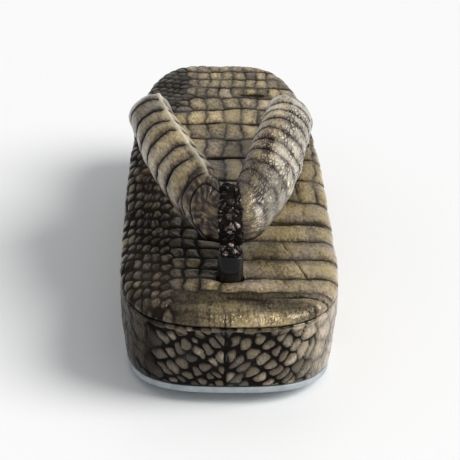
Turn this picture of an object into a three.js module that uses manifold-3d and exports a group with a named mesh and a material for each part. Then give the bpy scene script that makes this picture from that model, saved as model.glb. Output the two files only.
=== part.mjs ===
// A padded zori: a wedge platform wrapped in scaled leather, a cushioned footbed, a thin pale
// outsole with toe spring, and a stuffed V strap held at the toe by a leather thong.
// Millimetres, +Z up, toe towards -Y, floor at z = 0, origin under the middle of the sole.
import * as THREE from "three";
import { mergeVertices } from "three/addons/utils/BufferGeometryUtils.js";
import Module from "manifold-3d";

const wasm = await Module();
wasm.setup();

// Sole outline, seen from above
const SOLE_LENGTH = 240;
const BALL_WIDTH = 90;
const HEEL_WIDTH = 84;
const BALL_FROM_TOE = 52;
const TOE_ROUNDNESS = 2.9; // superellipse powers: 2 is round, larger is squarer
const HEEL_ROUNDNESS = 3.9;
const OUTLINE_STEPS = 96;

// Heights and thicknesses of the sole
const TOE_HEIGHT = 36.6; // top of the wrapped platform, where the footbed starts
const HEEL_HEIGHT = 47;
const TOE_SPRING = 6;
const TOE_SPRING_FROM_TOE = 78;
const OUTSOLE_THICKNESS = 2.8;
const FOOTBED_THICKNESS = 5.6;
const WALL_TAPER = 2.2; // how far the wall leans in from the joint down to the outsole
const OUTSOLE_INSET = 2.4;
const OUTSOLE_EDGE = 0.7;
const PLATFORM_EDGE = 1.2;
const PLATFORM_TOP_EDGE = 0.6;
const FOOTBED_SIDE_INSET = 0.6;
const FOOTBED_EDGE_RUN = 7.5; // the cushion's rounded rim, inwards and upwards
const FOOTBED_EDGE_RISE = 4.3;
const EDGE_STEPS = 4;
const GAP = 0.3; // between pieces that meet

// Strap
const STRAP_HOLE_SPREAD = 33.5; // from the middle line to the middle of a rear hole
const STRAP_REACH = 119; // from the toe hole back to the rear holes
const STRAP_RISE = 29; // of the inner edge above the footbed
const STRAP_WIDTH = 22;
const STRAP_THICKNESS = 15.5;
const STRAP_LEAN = -4; // the empty strap leans towards the inner side
const STRAP_TOP_SHARE = 0.55; // of the thickness that lies above the two edge lines
const STRAP_ROUNDNESS = 2.2;
const STRAP_STEPS = 56;
const STRAP_SIDES = 24;
const STRAP_IN_PLATFORM = 3;
const HOLE_CLEARANCE = 0.4;

// Toe thong and its sleeve
const THONG_FROM_TOE = 35;
const THONG_WIDTH = 9.6;
const THONG_THICKNESS = 2.2;
const THONG_CROTCH_SHARE = 0.6; // the loop narrows where it passes through the V
const TAIL_WIDTH = 7.4;
const TAIL_DEPTH = 5.4;
const TAIL_LEAN = 7; // how far back the tail's top lies from its hole
const TAIL_IN_LOOP = 2;
const SLEEVE_WALL = 1.3;
const SLEEVE_RISE = 8.8; // above the footbed
const TAIL_ROUNDNESS = 2.6;
const TAIL_STEPS = 12;
const ROUND_SIDES = 24;

// Top line of the platform from toe to heel: a shallow dip at the ball, then the wedge
const TOP_LINE = [
  { along: 0, rise: 0 },
  { along: 0.12, rise: -0.05 },
  { along: 0.3, rise: 0.02 },
  { along: 0.55, rise: 0.38 },
  { along: 0.8, rise: 0.86 },
  { along: 1, rise: 1 },
];

// The strap's inner edge from the middle of the V to a rear hole: out is a share of
// STRAP_HOLE_SPREAD, along of STRAP_REACH from the toe hole, up of STRAP_RISE above the footbed.
// The outer edge lies off it by side, ahead and drop, shares of STRAP_WIDTH. Thick is a share
// of STRAP_THICKNESS.
const STRAP_SECTIONS = [
  { out: 0, along: 0.21, up: 0.89, side: 0, ahead: 0.82, drop: 0.66, thick: 0.8 },
  { out: 0.08, along: 0.212, up: 0.89, side: 0.11, ahead: 0.81, drop: 0.66, thick: 0.82 },
  { out: 0.12, along: 0.26, up: 0.93, side: 0.37, ahead: 0.87, drop: 0.67, thick: 0.96 },
  { out: 0.18, along: 0.34, up: 0.96, side: 0.61, ahead: 0.7, drop: 0.65, thick: 1 },
  { out: 0.29, along: 0.445, up: 1, side: 0.76, ahead: 0.45, drop: 0.62, thick: 1 },
  { out: 0.45, along: 0.597, up: 1.01, side: 0.8, ahead: 0.32, drop: 0.57, thick: 1 },
  { out: 0.6, along: 0.765, up: 0.98, side: 0.76, ahead: 0.18, drop: 0.5, thick: 1 },
  { out: 0.67, along: 0.903, up: 0.88, side: 0.75, ahead: 0.12, drop: 0.51, thick: 0.98 },
  { out: 0.73, along: 0.995, up: 0.62, side: 0.69, ahead: 0.18, drop: 0.46, thick: 0.9 },
  { out: 0.785, along: 1.03, up: 0.26, side: 0.57, ahead: 0.19, drop: 0.27, thick: 0.8 },
  { out: 0.81, along: 1.03, up: -0.06, side: 0.5, ahead: 0.16, drop: 0.05, thick: 0.76 },
];

// The loop's edges: out is a share of half THONG_WIDTH, grow of THONG_THICKNESS
const THONG_LAYERS = [
  { out: -1, grow: 0.45 },
  { out: -0.8, grow: 1 },
  { out: 0.8, grow: 1 },
  { out: 1, grow: 0.45 },
];

// The tail above the footbed: back is a share of TAIL_LEAN, up of SLEEVE_RISE
const TAIL_POINTS = [
  { back: 0.1, up: 0.4 },
  { back: 0.45, up: 1 },
];

const toeY = -SOLE_LENGTH / 2;
const ballY = toeY + BALL_FROM_TOE;
const thongY = toeY + THONG_FROM_TOE;
const rearHoleY = thongY + STRAP_REACH;

const clamp = (t) => Math.min(1, Math.max(0, t));
const smooth = (t) => t * t * (3 - 2 * t);

// Half width of the sole at y
function halfWidth(y) {
  const toToe = clamp((ballY - y) / BALL_FROM_TOE);
  const toHeel = clamp((y - ballY) / (SOLE_LENGTH - BALL_FROM_TOE));
  const width = BALL_WIDTH + (HEEL_WIDTH - BALL_WIDTH) * smooth(toHeel);
  const toe = (1 - toToe ** TOE_ROUNDNESS) ** (1 / TOE_ROUNDNESS);
  const heel = (1 - toHeel ** HEEL_ROUNDNESS) ** (1 / HEEL_ROUNDNESS);
  return (width / 2) * toe * heel;
}

// The outline as a closed curve from the toe tip along +X to the heel tip and back
class SoleOutline extends THREE.Curve {
  getPoint(t, target = new THREE.Vector3()) {
    const side = t <= 0.5 ? 1 : -1;
    const y = toeY + (SOLE_LENGTH * (1 - Math.cos(2 * Math.PI * t))) / 2;
    return target.set(side * halfWidth(y), y, 0);
  }
}
const outlineCurve = new SoleOutline();
outlineCurve.arcLengthDivisions = 2400;
const outline = outlineCurve.getSpacedPoints(OUTLINE_STEPS).slice(0, OUTLINE_STEPS);
const outward = outline.map((p, i) => {
  const before = outline[(i + OUTLINE_STEPS - 1) % OUTLINE_STEPS];
  const after = outline[(i + 1) % OUTLINE_STEPS];
  return new THREE.Vector3(after.y - before.y, before.x - after.x, 0).normalize();
});

// Heights along the sole
const topLine = new THREE.CatmullRomCurve3(
  TOP_LINE.map((row) => new THREE.Vector3(0, row.along, row.rise)),
).getPoints(400);
function topHeight(y) {
  const along = clamp((y - toeY) / SOLE_LENGTH);
  const i = Math.max(1, topLine.findIndex((p) => p.y >= along - 1e-9));
  const share = (along - topLine[i - 1].y) / (topLine[i].y - topLine[i - 1].y);
  const rise = THREE.MathUtils.lerp(topLine[i - 1].z, topLine[i].z, share);
  return THREE.MathUtils.lerp(TOE_HEIGHT, HEEL_HEIGHT, rise);
}
const floorHeight = (y) => TOE_SPRING * clamp(1 - (y - toeY) / TOE_SPRING_FROM_TOE) ** 2;
const outsoleTop = (y) => floorHeight(y) + OUTSOLE_THICKNESS;
const platformBottom = (y) => outsoleTop(y) + GAP;
const footbedBottom = (y) => topHeight(y) + GAP;
const footbedTop = (y) => footbedBottom(y) + FOOTBED_THICKNESS;

// The outline moved inwards, at a height that follows the sole
function soleRing(inset, heightAt) {
  return outline.map((p, i) => {
    const q = p.clone().addScaledVector(outward[i], -inset);
    return q.setZ(heightAt(q.y));
  });
}

// A closed three.js geometry as a solid for joining and cutting
function solid(geometry) {
  const bare = geometry.clone();
  bare.deleteAttribute("normal");
  bare.deleteAttribute("uv");
  const merged = mergeVertices(bare, 1e-4);
  const corners = merged.index.array;
  const kept = [];
  for (let i = 0; i < corners.length; i += 3) {
    const [a, b, c] = corners.slice(i, i + 3);
    if (a !== b && b !== c && a !== c) kept.push(a, b, c);
  }
  const mesh = new wasm.Mesh({
    numProp: 3,
    vertProperties: merged.attributes.position.array,
    triVerts: new Uint32Array(kept),
  });
  return new wasm.Manifold(mesh);
}

// A closed body through rings of equal count. Each end is zipped shut across the ring from
// point 0, and every ring runs anticlockwise about the direction from the first to the last.
function loft(rings) {
  const count = rings[0].length;
  const faces = [];
  for (let r = 0; r + 1 < rings.length; r++) {
    for (let i = 0; i < count; i++) {
      const j = (i + 1) % count;
      const [a, b, c, d] = [r * count + i, r * count + j, (r + 1) * count + j, (r + 1) * count + i];
      faces.push(a, b, c, a, c, d);
    }
  }
  const last = (rings.length - 1) * count;
  for (let i = 0; i < count / 2; i++) {
    const [far, near] = [(count - i) % count, count - i - 1];
    faces.push(i, far, near, i, near, i + 1);
    faces.push(last + i, last + near, last + far, last + i, last + i + 1, last + near);
  }
  const geometry = new THREE.BufferGeometry();
  const positions = rings.flat().flatMap((p) => [p.x, p.y, p.z]);
  geometry.setAttribute("position", new THREE.Float32BufferAttribute(positions, 3));
  geometry.setIndex(faces);
  return solid(geometry);
}

// A superellipse ring that runs anticlockwise about its frame's direction of travel
function roundRing(frame, reach, above, below, power, sides = ROUND_SIDES) {
  return Array.from({ length: sides }, (_, i) => {
    const turn = (2 * Math.PI * i) / sides;
    const [c, s] = [Math.cos(turn), Math.sin(turn)];
    const along = Math.sign(c) * Math.abs(c) ** (2 / power) * reach;
    const rise = Math.sign(s) * Math.abs(s) ** (2 / power) * (s > 0 ? above : below);
    return frame.centre.clone().addScaledVector(frame.inwards, along).addScaledVector(frame.up, rise);
  });
}

// A rounded bar along a path in the middle plane: width across X, depth in the plane
function bar(path, width, depth, power) {
  const rings = path.map((centre, k) => {
    const ahead = path[Math.min(k + 1, path.length - 1)];
    const travel = ahead.clone().sub(path[Math.max(k - 1, 0)]).normalize();
    const inwards = new THREE.Vector3(1, 0, 0);
    const up = travel.cross(inwards);
    return roundRing({ centre, inwards, up }, width / 2, depth / 2, depth / 2, power);
  });
  return loft(rings);
}

const edgeSteps = Array.from({ length: EDGE_STEPS + 1 }, (_, i) => (Math.PI * i) / (2 * EDGE_STEPS));
function lowEdge(inset, size, heightAt) {
  const lift = (a) => size * (1 - Math.cos(a));
  return edgeSteps.map((a) => soleRing(inset + size * (1 - Math.sin(a)), (y) => heightAt(y) + lift(a)));
}
function highEdge(run, rise, heightAt) {
  const drop = (a) => rise * (1 - Math.sin(a));
  return edgeSteps.map((a) => soleRing(run * (1 - Math.cos(a)), (y) => heightAt(y) - drop(a)));
}

// Outsole: a thin sheet that follows the platform and rises at the toe
const outsoleBody = loft([
  ...lowEdge(OUTSOLE_INSET, OUTSOLE_EDGE, floorHeight),
  soleRing(OUTSOLE_INSET, outsoleTop),
]);

// Platform: the wrapped wedge, leaning in a little towards the floor
const platformBlock = loft([
  ...lowEdge(WALL_TAPER, PLATFORM_EDGE, platformBottom),
  ...highEdge(PLATFORM_TOP_EDGE, PLATFORM_TOP_EDGE, topHeight),
]);

// Footbed: a cushion with a rounded rim
const footbedBlock = loft([
  soleRing(FOOTBED_SIDE_INSET, footbedBottom),
  ...highEdge(FOOTBED_EDGE_RUN, FOOTBED_EDGE_RISE, footbedTop),
]);

// Strap: one padded tube from hole to hole, carried on an inner and an outer edge line
const lastSection = STRAP_SECTIONS[STRAP_SECTIONS.length - 1];
function lean(p) {
  const along = clamp((p.y - thongY) / STRAP_REACH);
  const up = clamp((p.z - footbedTop(p.y)) / STRAP_RISE);
  return p.setX(p.x + STRAP_LEAN * up * smooth(along));
}
function innerPoint(row, side) {
  const y = thongY + STRAP_REACH * row.along;
  const z = footbedTop(Math.min(y, rearHoleY)) + STRAP_RISE * row.up;
  return new THREE.Vector3(side * STRAP_HOLE_SPREAD * row.out, y, z);
}
function outerPoint(row, side) {
  const across = new THREE.Vector3(side * row.side, -row.ahead, -row.drop);
  return innerPoint(row, side).addScaledVector(across, STRAP_WIDTH);
}
function edgeLine(pointOf) {
  const branch = (side) => {
    const end = pointOf(lastSection, side).setZ(topHeight(rearHoleY) - STRAP_IN_PLATFORM);
    return [...STRAP_SECTIONS.map((row) => lean(pointOf(row, side))), end];
  };
  const left = branch(-1).slice(1).reverse();
  return new THREE.CatmullRomCurve3([...left, ...branch(1)], false, "centripetal");
}
const innerLine = edgeLine(innerPoint);
const outerLine = edgeLine(outerPoint);
const branchShares = [...STRAP_SECTIONS, lastSection].map((row) => row.thick);
const thickShares = [...branchShares.slice(1).reverse(), ...branchShares];

function thicknessAt(t) {
  const place = clamp(t) * (thickShares.length - 1);
  const i = Math.min(Math.floor(place), thickShares.length - 2);
  return STRAP_THICKNESS * THREE.MathUtils.lerp(thickShares[i], thickShares[i + 1], place - i);
}

// The strap's frame at t: 0 at the hole on -X, 0.5 in the V, 1 at the hole on +X
function strapFrame(t) {
  const middle = (s) => innerLine.getPoint(clamp(s)).add(outerLine.getPoint(clamp(s))).divideScalar(2);
  const half = innerLine.getPoint(t).sub(outerLine.getPoint(t)).divideScalar(2);
  const travel = middle(t + 0.01).sub(middle(t - 0.01)).normalize();
  const inwards = half.clone().normalize();
  const up = travel.clone().cross(inwards).normalize();
  return { centre: middle(t), travel, inwards, up, reach: half.length(), thickness: thicknessAt(t) };
}

function strapRing(frame, grow, sides = STRAP_SIDES) {
  const above = frame.thickness * STRAP_TOP_SHARE + grow;
  const below = frame.thickness * (1 - STRAP_TOP_SHARE) + grow;
  return roundRing(frame, frame.reach + grow, above, below, STRAP_ROUNDNESS, sides);
}

const strapSteps = Array.from({ length: STRAP_STEPS + 1 }, (_, i) => i / STRAP_STEPS);
function strapTube(grow) {
  const frames = strapSteps.map(strapFrame);
  frames[0].centre.addScaledVector(frames[0].travel, -grow);
  frames[STRAP_STEPS].centre.addScaledVector(frames[STRAP_STEPS].travel, grow);
  return loft(frames.map((frame) => strapRing(frame, grow)));
}
const strapBody = strapTube(0);

// Toe thong: a loop round the middle of the strap and a tail that runs down into the sole
const neck = strapFrame(0.5);
function thongLoop(grow) {
  return loft(
    THONG_LAYERS.map((layer) =>
      strapRing(neck, GAP + THONG_THICKNESS * layer.grow + grow, ROUND_SIDES).map((p) => {
        const inwards = p.clone().sub(neck.centre).dot(neck.inwards) / neck.reach;
        const width = THREE.MathUtils.lerp(1, THONG_CROTCH_SHARE, clamp((inwards + 1) / 2));
        return p.setX(neck.centre.x + layer.out * ((THONG_WIDTH * width) / 2 + grow));
      }),
    ),
  );
}
const thongFloor = footbedTop(thongY);
const tailPath = new THREE.CatmullRomCurve3([
  new THREE.Vector3(0, thongY, topHeight(thongY) - STRAP_IN_PLATFORM),
  new THREE.Vector3(0, thongY, thongFloor - FOOTBED_THICKNESS / 2),
  ...TAIL_POINTS.map((row) => {
    return new THREE.Vector3(0, thongY + TAIL_LEAN * row.back, thongFloor + SLEEVE_RISE * row.up);
  }),
  neck.centre.clone().addScaledVector(neck.inwards, TAIL_IN_LOOP - neck.reach),
]).getPoints(TAIL_STEPS);
function tail(grow) {
  const path = tailPath.map((p) => p.clone());
  path[0].z -= grow;
  return bar(path, TAIL_WIDTH + 2 * grow, TAIL_DEPTH + 2 * grow, TAIL_ROUNDNESS);
}
const thongBody = thongLoop(0).add(tail(0)).subtract(strapTube(GAP));

// Sleeve: a smooth collar round the tail, from the platform up to the loop
const sleeveBody = tail(GAP + SLEEVE_WALL)
  .trimByPlane([0, 0, 1], footbedBottom(thongY))
  .trimByPlane([0, 0, -1], -thongFloor - SLEEVE_RISE)
  .subtract(tail(GAP))
  .subtract(thongLoop(GAP))
  .subtract(strapTube(GAP));

// Holes for the strap ends, the tail and its sleeve
const strapHoles = strapTube(HOLE_CLEARANCE);
const platformBody = platformBlock.subtract(strapHoles).subtract(tail(HOLE_CLEARANCE));
const footbedBody = footbedBlock.subtract(strapHoles).subtract(tail(GAP + SLEEVE_WALL + HOLE_CLEARANCE));

function piece(name, body, color, roughness, metalness = 0) {
  const { vertProperties, triVerts } = body.getMesh();
  const geometry = new THREE.BufferGeometry();
  geometry.setAttribute("position", new THREE.BufferAttribute(vertProperties, 3));
  geometry.setIndex(new THREE.BufferAttribute(triVerts, 1));
  geometry.computeVertexNormals();
  const mesh = new THREE.Mesh(geometry, new THREE.MeshStandardMaterial({ color, roughness, metalness }));
  mesh.name = name;
  return mesh;
}

const zori = new THREE.Group();
zori.name = "zori";
zori.add(
  piece("outsole", outsoleBody, 0xb4bcc0, 0.6),
  piece("platform", platformBody, 0x77694a, 0.42, 0.3),
  piece("footbed", footbedBody, 0x9a8a62, 0.4, 0.3),
  piece("strap", strapBody, 0xa89a72, 0.38, 0.3),
  piece("toe_thong", thongBody, 0x3a332a, 0.45, 0.2),
  piece("thong_sleeve", sleeveBody, 0x0d0c0c, 0.5),
);

export default zori;
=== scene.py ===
"""A padded zori in scaled leather: cushioned footbed, wrapped wedge, thin pale outsole, a stuffed
V strap and its toe thong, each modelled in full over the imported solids, on a pale floor."""

import math

import bmesh
import bpy
import numpy as np
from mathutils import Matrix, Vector, kdtree


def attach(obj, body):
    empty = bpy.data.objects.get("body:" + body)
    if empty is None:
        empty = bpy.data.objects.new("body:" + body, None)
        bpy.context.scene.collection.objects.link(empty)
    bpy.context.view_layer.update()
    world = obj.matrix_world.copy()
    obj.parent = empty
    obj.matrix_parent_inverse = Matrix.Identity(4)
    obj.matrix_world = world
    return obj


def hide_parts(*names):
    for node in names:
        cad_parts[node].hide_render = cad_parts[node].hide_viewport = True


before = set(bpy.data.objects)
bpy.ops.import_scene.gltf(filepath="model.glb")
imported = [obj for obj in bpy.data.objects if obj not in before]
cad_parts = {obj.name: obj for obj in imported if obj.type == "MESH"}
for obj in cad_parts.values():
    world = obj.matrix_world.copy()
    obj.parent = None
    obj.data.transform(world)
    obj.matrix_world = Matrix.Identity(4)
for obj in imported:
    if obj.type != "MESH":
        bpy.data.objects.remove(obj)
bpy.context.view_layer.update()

bl_info = {
    "name": "Scaled leather zori",
    "version": (1, 0, 0),
    "blender": (4, 5, 0),
    "location": "View3D > Sidebar > Zori",
    "description": "Makes the pieces of a padded zori in scaled leather and sets its stage",
    "category": "Object",
}

# The shapes are worked out in millimetres, toe towards -Y, and set in metres.
MM = 0.001

# Clearance round what passes through the footbed and the platform, in millimetres
HOLE_CLEARANCE = 0.4

# Way round the strap's skin once it is laid flat, in millimetres
GIRTH = 60.0

# Where the wrap's seam lies on the wall: its way from the toe along the outline
SEAM = -2.4

# Top line of the platform from toe to heel: share of the length, share of the rise
TOP_LINE = ((0, 0), (0.12, -0.05), (0.3, 0.02), (0.55, 0.38), (0.8, 0.86), (1, 1))

# Strap sections from the middle of the V to a rear hole. The first three place the inner edge:
# share of the hole spread, of the reach and of the rise. The next three set the outer edge off
# from it, in shares of the strap's width: to the side, ahead and down. The last is thickness.
STRAP_SECTIONS = (
    (0, 0.21, 0.89, 0, 0.82, 0.66, 0.8),
    (0.08, 0.212, 0.89, 0.11, 0.81, 0.66, 0.82),
    (0.12, 0.26, 0.93, 0.37, 0.87, 0.67, 0.96),
    (0.18, 0.34, 0.96, 0.61, 0.7, 0.65, 1),
    (0.29, 0.445, 1, 0.76, 0.45, 0.62, 1),
    (0.45, 0.597, 1.01, 0.8, 0.32, 0.57, 1),
    (0.6, 0.765, 0.98, 0.76, 0.18, 0.5, 1),
    (0.67, 0.903, 0.88, 0.75, 0.12, 0.51, 0.98),
    (0.73, 0.995, 0.62, 0.69, 0.18, 0.46, 0.9),
    (0.785, 1.03, 0.26, 0.57, 0.19, 0.27, 0.8),
    (0.81, 1.03, -0.06, 0.5, 0.16, 0.05, 0.76),
)


def size(name, description, default):
    """A length that can be changed in the panel."""
    return bpy.props.FloatProperty(
        name=name, description=description, default=default, min=0, unit="LENGTH", precision=4
    )


def colour(name, description, default):
    """A colour that can be changed in the panel."""
    return bpy.props.FloatVectorProperty(
        name=name, description=description, default=default, size=3, min=0, max=1, subtype="COLOR"
    )


def share(name, description, default):
    """A part of a whole, from 0 to 1."""
    return bpy.props.FloatProperty(
        name=name, description=description, default=default, min=0, max=1, subtype="FACTOR"
    )


class SoleSizes(bpy.types.PropertyGroup):
    length: size("Length", "From toe to heel", 0.240)
    ball_width: size("Ball width", "Widest place, at the ball of the foot", 0.090)
    heel_width: size("Heel width", "Width at the heel", 0.084)
    ball_from_toe: size("Ball from toe", "Where the widest place lies", 0.052)
    toe_height: size("Toe height", "Top of the wrapped platform at the toe", 0.0366)
    heel_height: size("Heel height", "Top of the wrapped platform at the heel", 0.047)
    toe_spring: size("Toe spring", "How far the toe is off the floor", 0.006)
    outsole_thickness: size("Outsole", "Thickness of the outsole", 0.0028)
    footbed_thickness: size("Footbed", "Thickness of the cushioned footbed", 0.0056)
    wall_taper: size("Wall taper", "How far the wall leans in towards the floor", 0.0022)
    rim_run: size("Rim run", "Width of the footbed's rounded rim", 0.0075)
    rim_rise: size("Rim rise", "Height of the footbed's rounded rim", 0.0043)


class StrapSizes(bpy.types.PropertyGroup):
    hole_spread: size("Hole spread", "From the middle line to a rear hole", 0.0335)
    reach: size("Reach", "From the toe hole back to the rear holes", 0.119)
    rise: size("Rise", "Height of the inner edge above the footbed", 0.029)
    width: size("Width", "Width of each arm", 0.022)
    thickness: size("Thickness", "Thickness of each arm", 0.0155)
    lean: size("Lean", "How far the strap leans to its inner side", 0.004)
    thong_from_toe: size("Thong from toe", "Where the thong's hole lies", 0.035)
    thong_width: size("Thong width", "Width of the loop", 0.0102)
    thong_thickness: size("Thong thickness", "Thickness of the loop's leather", 0.0022)
    tail_width: size("Tail width", "Width of the thong's tail", 0.0074)
    tail_depth: size("Tail depth", "Depth of the thong's tail", 0.0054)
    sleeve_rise: size("Sleeve rise", "Height of the sleeve above the footbed", 0.0088)
    sleeve_wall: size("Sleeve wall", "Thickness of the sleeve's wall", 0.0013)


class LeatherLook(bpy.types.PropertyGroup):
    scale_height: size("Scale height", "How far a scale's top stands up", 0.00028)
    groove_depth: size("Groove depth", "How deep the grooves between scales are", 0.00062)
    gold: colour("Gold", "Bright tops of the scales", (0.5, 0.39, 0.2))
    olive: colour("Olive", "Duller parts of the scales", (0.115, 0.088, 0.052))
    cream: colour("Cream", "Palest scales of the strap", (0.5, 0.455, 0.36))
    taupe: colour("Taupe", "Tops of the wall's cells", (0.42, 0.35, 0.235))
    mauve: colour("Mauve", "Reddish grey of the crumpled leather", (0.36, 0.285, 0.26))
    umber: colour("Umber", "Dark red brown of the crumpled leather", (0.075, 0.048, 0.04))
    brown: colour("Brown", "Softer stain between the footbed's tiles", (0.015, 0.010, 0.006))
    groove: colour("Groove", "Stain that lies in the grooves", (0.006, 0.0045, 0.003))
    sleeve: colour("Sleeve", "Smooth black collar", (0.006, 0.005, 0.005))
    rubber: colour("Outsole", "Pale grey rubber", (0.42, 0.47, 0.50))
    coat: share("Coat", "Strength of the clear finish", 0.65)


class StageLook(bpy.types.PropertyGroup):
    floor: colour("Floor", "Pale floor", (0.94, 0.945, 0.95))
    key: bpy.props.FloatProperty(
        name="Key", description="Strength of the soft light from the side", default=3.0, min=0
    )
    sky: bpy.props.FloatProperty(
        name="Sky", description="Strength of the light from all round", default=0.47, min=0
    )
    lens: bpy.props.FloatProperty(
        name="Lens", description="Focal length in millimetres", default=170, min=20, max=300
    )


class ZoriSettings(bpy.types.PropertyGroup):
    sole: bpy.props.PointerProperty(type=SoleSizes)
    strap: bpy.props.PointerProperty(type=StrapSizes)
    leather: bpy.props.PointerProperty(type=LeatherLook)
    stage: bpy.props.PointerProperty(type=StageLook)


# Shapes


def clamp(t):
    return np.clip(t, 0, 1)


def smooth(t):
    return t * t * (3 - 2 * t)


def rising(value, start, run):
    """0 up to the start, 1 a run further on. With a run below 0 it goes the other way."""
    return clamp((value - start) / run)


def bell(value, middle, width):
    """1 in the middle, and soft to 0 on both sides of it."""
    return np.exp(-(((value - middle) / width) ** 2))


def squarish(value, power):
    """A sine or cosine to a power, its sign kept. A power below 1 squares a round form."""
    return np.sign(value) * np.abs(value) ** power


def quarter_round(share, radius):
    """The two ways off a rounded edge at a share of its turn: the first falls to 0 over the
    turn, and the second grows from 0 to the radius."""
    turn = share * np.pi / 2
    return radius * (1 - np.sin(turn)), radius * (1 - np.cos(turn))


def curve_through(knots, at):
    """Points of a centripetal curve through the knots, at shares of the number of knots."""
    knots = np.asarray(knots, float)
    ends = np.vstack([2 * knots[0] - knots[1], knots, 2 * knots[-1] - knots[-2]])
    place = clamp(np.asarray(at, float)) * (len(knots) - 1)
    i = np.minimum(place.astype(int), len(knots) - 2)
    t = (place - i)[:, None]
    a, b, c, d = (ends[i + k] for k in range(4))
    ab, bc, cd = (
        np.sqrt(np.linalg.norm(q - p, axis=1, keepdims=True)) for p, q in ((a, b), (b, c), (c, d))
    )
    leaving = ((b - a) / ab - (c - a) / (ab + bc) + (c - b) / bc) * bc
    arriving = ((c - b) / bc - (d - b) / (bc + cd) + (d - c) / cd) * bc
    cubic = 2 * b - 2 * c + leaving + arriving
    square = -3 * b + 3 * c - 2 * leaving - arriving
    return b + t * (leaving + t * (square + t * cubic))


class Sole:
    """Outline and heights of the sole, in millimetres."""

    TOE_ROUNDNESS = 2.9
    HEEL_ROUNDNESS = 3.9
    SPRING_FROM_TOE = 78
    MIDDLE_FROM_TOE = 44
    MIDDLE_FROM_HEEL = 42
    GAP = 0.3

    def __init__(self, settings):
        sizes = settings.sole
        for name in sizes.__annotations__:
            setattr(self, name, getattr(sizes, name) / MM)
        self.toe_y = -self.length / 2
        self.ball_y = self.toe_y + self.ball_from_toe
        self.top_line = curve_through(TOP_LINE, np.linspace(0, 1, 400))
        turn = np.linspace(0, np.pi, 6001)
        y = self.toe_y + self.length * (1 - np.cos(turn)) / 2
        x = self.half_width(y)
        steps = np.hypot(np.diff(x), np.diff(y))
        self.arc = np.concatenate([[0], np.cumsum(steps)])
        self.side = np.stack([x, y], 1)
        self.round = 2 * self.arc[-1]

    def half_width(self, y):
        to_toe = rising(y, self.ball_y, -self.ball_from_toe)
        to_heel = rising(y, self.ball_y, self.length - self.ball_from_toe)
        width = self.ball_width + (self.heel_width - self.ball_width) * smooth(to_heel)
        toe = (1 - to_toe**self.TOE_ROUNDNESS) ** (1 / self.TOE_ROUNDNESS)
        heel = (1 - to_heel**self.HEEL_ROUNDNESS) ** (1 / self.HEEL_ROUNDNESS)
        return width / 2 * toe * heel

    def outline(self, around):
        """Points on the outline at shares of its way round, from the toe along +X."""
        reach = self.round * np.minimum(around, 1 - around)
        x = np.interp(reach, self.arc, self.side[:, 0])
        y = np.interp(reach, self.arc, self.side[:, 1])
        return np.stack([np.where(around <= 0.5, x, -x), y], 1)

    def inset(self, around, depth):
        """Points that lie a depth inside the outline."""
        step = 0.5 / 96
        before, after = self.outline((around - step) % 1), self.outline((around + step) % 1)
        along = after - before
        outward = np.stack([along[:, 1], -along[:, 0]], 1)
        outward /= np.linalg.norm(outward, axis=1, keepdims=True)
        depth = np.broadcast_to(depth, around.shape)
        return self.outline(around) - outward * depth[:, None]

    def ring(self, around, inset, inwards):
        """Points an inset from the outline, then a share of the way in to the middle line."""
        rim = self.inset(around, inset)
        front, back = self.toe_y + self.MIDDLE_FROM_TOE, -self.toe_y - self.MIDDLE_FROM_HEEL
        y = np.clip(self.inset(around, self.rim_run)[:, 1], front, back)
        middle = np.stack([np.zeros(len(y)), y], 1)
        return rim + (middle - rim) * inwards[:, None]

    def top(self, y):
        along = rising(y, self.toe_y, self.length)
        rise = np.interp(along, self.top_line[:, 0], self.top_line[:, 1])
        return self.toe_height + (self.heel_height - self.toe_height) * rise

    def floor(self, y):
        return self.toe_spring * clamp(1 - (y - self.toe_y) / self.SPRING_FROM_TOE) ** 2

    def outsole_top(self, y):
        return self.floor(y) + self.outsole_thickness

    def footbed_top(self, y):
        return self.top(y) + self.GAP + self.footbed_thickness


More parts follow.
